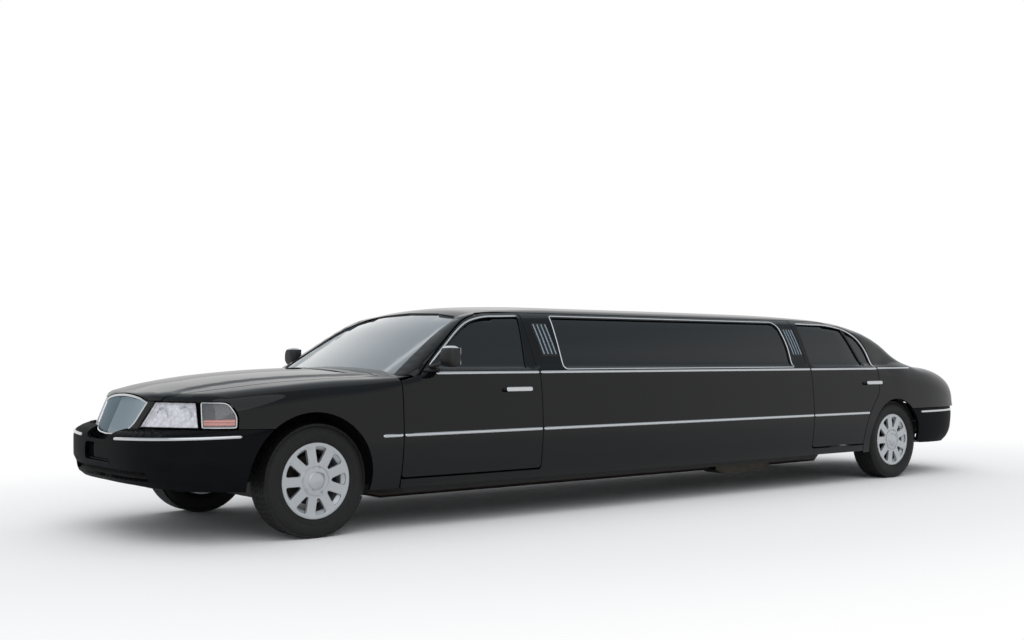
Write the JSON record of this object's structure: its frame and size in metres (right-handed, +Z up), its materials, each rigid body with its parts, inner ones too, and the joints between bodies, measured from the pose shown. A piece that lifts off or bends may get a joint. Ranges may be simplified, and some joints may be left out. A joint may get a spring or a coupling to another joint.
{
  "type": "stretch limousine",
  "caption": "Long black stretch limousine with opening doors, hood and trunk lid, a partitioned cabin and steered wheels.",
  "frame": {"origin": "on the ground at the middle of the car's bounding box", "axes": "+X points rearwards, +Y to the car's right, +Z up"},
  "size_m": [8.519, 2.29, 1.499],
  "materials": {
    "black_paint": "deep gloss black clear-coated paint",
    "bumper_paint": "painted bumper cover, gloss black",
    "chrome": "bright chrome plate",
    "lamp_lens": "clear lens over a bright bowl",
    "red_lens": "red tail lamp lens",
    "glass": "green-grey laminated glass",
    "privacy_glass": "dark privacy glass",
    "alloy": "silver-painted alloy with a clear coat",
    "tyre": "matt black rubber",
    "chassis_black": "satin black chassis paint",
    "cast_iron": "bare casting",
    "exhaust_steel": "dull stainless pipe",
    "liner": "textured black liner",
    "trim_dark": "grained dark trim",
    "seat_leather": "black leather",
    "carpet": "dark carpeted floor",
    "cabinet": "dark lacquered cabinet"
  },
  "bodies": {
    "body": {"frame_front": "chassis_black", "frame_middle": "chassis_black", "frame_rear": "chassis_black", "floor_pan": "carpet", "engine": "cast_iron", "radiator": "chassis_black", "transmission": "cast_iron", "drive_shaft": "chassis_black", "exhaust": "exhaust_steel", "front_suspension": "chassis_black", "rear_axle": "cast_iron", "front_wheelhouses": "liner", "bulkhead": "black_paint", "trunk_well": "black_paint", "front_bumper": "bumper_paint", "rear_bumper": "bumper_paint", "grille": "chrome", "headlamps": "lamp_lens", "tail_lamps": "red_lens", "front_fenders": "black_paint", "stretch_panels": "black_paint", "rear_quarters": "black_paint", "roof": "black_paint", "windshield": "glass", "rear_window": "privacy_glass", "stretch_windows": "privacy_glass", "dashboard": "trim_dark", "front_seats": "seat_leather", "partition": "trim_dark", "passenger_seats": "seat_leather", "bar_cabinet": "cabinet"},
    "hood": {"hood": "black_paint"},
    "trunk_lid": {"trunk_lid": "black_paint"},
    "steering_wheel": {"steering_wheel": "trim_dark"},
    "front_door_left": {"front_door_left": "black_paint", "front_door_glass_left": "glass", "door_mirror_left": "bumper_paint"},
    "rear_door_left": {"rear_door_left": "black_paint", "rear_door_glass_left": "privacy_glass"},
    "knuckle_left": {"knuckle_left": "cast_iron"},
    "front_wheel_left": {"front_wheel_left": "alloy", "front_tyre_left": "tyre"},
    "rear_wheel_left": {"rear_wheel_left": "alloy", "rear_tyre_left": "tyre"},
    "front_door_right": {"front_door_right": "black_paint", "front_door_glass_right": "glass", "door_mirror_right": "bumper_paint"},
    "rear_door_right": {"rear_door_right": "black_paint", "rear_door_glass_right": "privacy_glass"},
    "knuckle_right": {"knuckle_right": "cast_iron"},
    "front_wheel_right": {"front_wheel_right": "alloy", "front_tyre_right": "tyre"},
    "rear_wheel_right": {"rear_wheel_right": "alloy", "rear_tyre_right": "tyre"}
  },
  "joints": [
    {"name": "steer_left", "type": "hinge", "parent": "body", "child": "knuckle_left", "pos_m": [-3.2195, -0.72, 0.351], "axis": [0, 0, 1], "range_deg": [-32, 32]},
    {"name": "front_door_left_hinge", "type": "hinge", "parent": "body", "child": "front_door_left", "pos_m": [-2.7055, -0.973, 0.67], "axis": [0, 0, -1], "range_deg": [0, 65]},
    {"name": "rear_door_left_hinge", "type": "hinge", "parent": "body", "child": "rear_door_left", "pos_m": [1.4945, -0.973, 0.67], "axis": [0, 0, -1], "range_deg": [0, 65]},
    {"name": "front_wheel_left_spin", "type": "hinge", "parent": "knuckle_left", "child": "front_wheel_left", "pos_m": [-3.2195, -0.815, 0.351], "axis": [0, 1, 0], "continuous": true},
    {"name": "rear_wheel_left_spin", "type": "hinge", "parent": "body", "child": "rear_wheel_left", "pos_m": [2.8185, -0.825, 0.351], "axis": [0, 1, 0], "continuous": true},
    {"name": "front_door_right_hinge", "type": "hinge", "parent": "body", "child": "front_door_right", "pos_m": [-2.7055, 0.973, 0.67], "axis": [0, 0, 1], "range_deg": [0, 65]},
    {"name": "rear_door_right_hinge", "type": "hinge", "parent": "body", "child": "rear_door_right", "pos_m": [1.4945, 0.973, 0.67], "axis": [0, 0, 1], "range_deg": [0, 65]},
    {"name": "steer_right", "type": "hinge", "parent": "body", "child": "knuckle_right", "pos_m": [-3.2195, 0.72, 0.351], "axis": [0, 0, 1], "range_deg": [-32, 32]},
    {"name": "front_wheel_right_spin", "type": "hinge", "parent": "knuckle_right", "child": "front_wheel_right", "pos_m": [-3.2195, 0.815, 0.351], "axis": [0, 1, 0], "continuous": true},
    {"name": "rear_wheel_right_spin", "type": "hinge", "parent": "body", "child": "rear_wheel_right", "pos_m": [2.8185, 0.825, 0.351], "axis": [0, 1, 0], "continuous": true},
    {"name": "hood_hinge", "type": "hinge", "parent": "body", "child": "hood", "pos_m": [-2.7395, 0, 0.995], "axis": [0, 1, 0], "range_deg": [0, 55]},
    {"name": "trunk_lid_hinge", "type": "hinge", "parent": "body", "child": "trunk_lid", "pos_m": [3.2835, 0, 1.029], "axis": [0, -1, 0], "range_deg": [0, 75]},
    {"name": "steering_wheel_turn", "type": "hinge", "parent": "body", "child": "steering_wheel", "pos_m": [-2.0995, -0.38, 0.905], "axis": [0.9135, 0, 0.4067], "range_deg": [-480, 480]}
  ],
  "couplings": [
    {"joint": "steer_right", "follows": "steer_left", "ratio": 1},
    {"joint": "steering_wheel_turn", "follows": "steer_left", "ratio": 15}
  ]
}
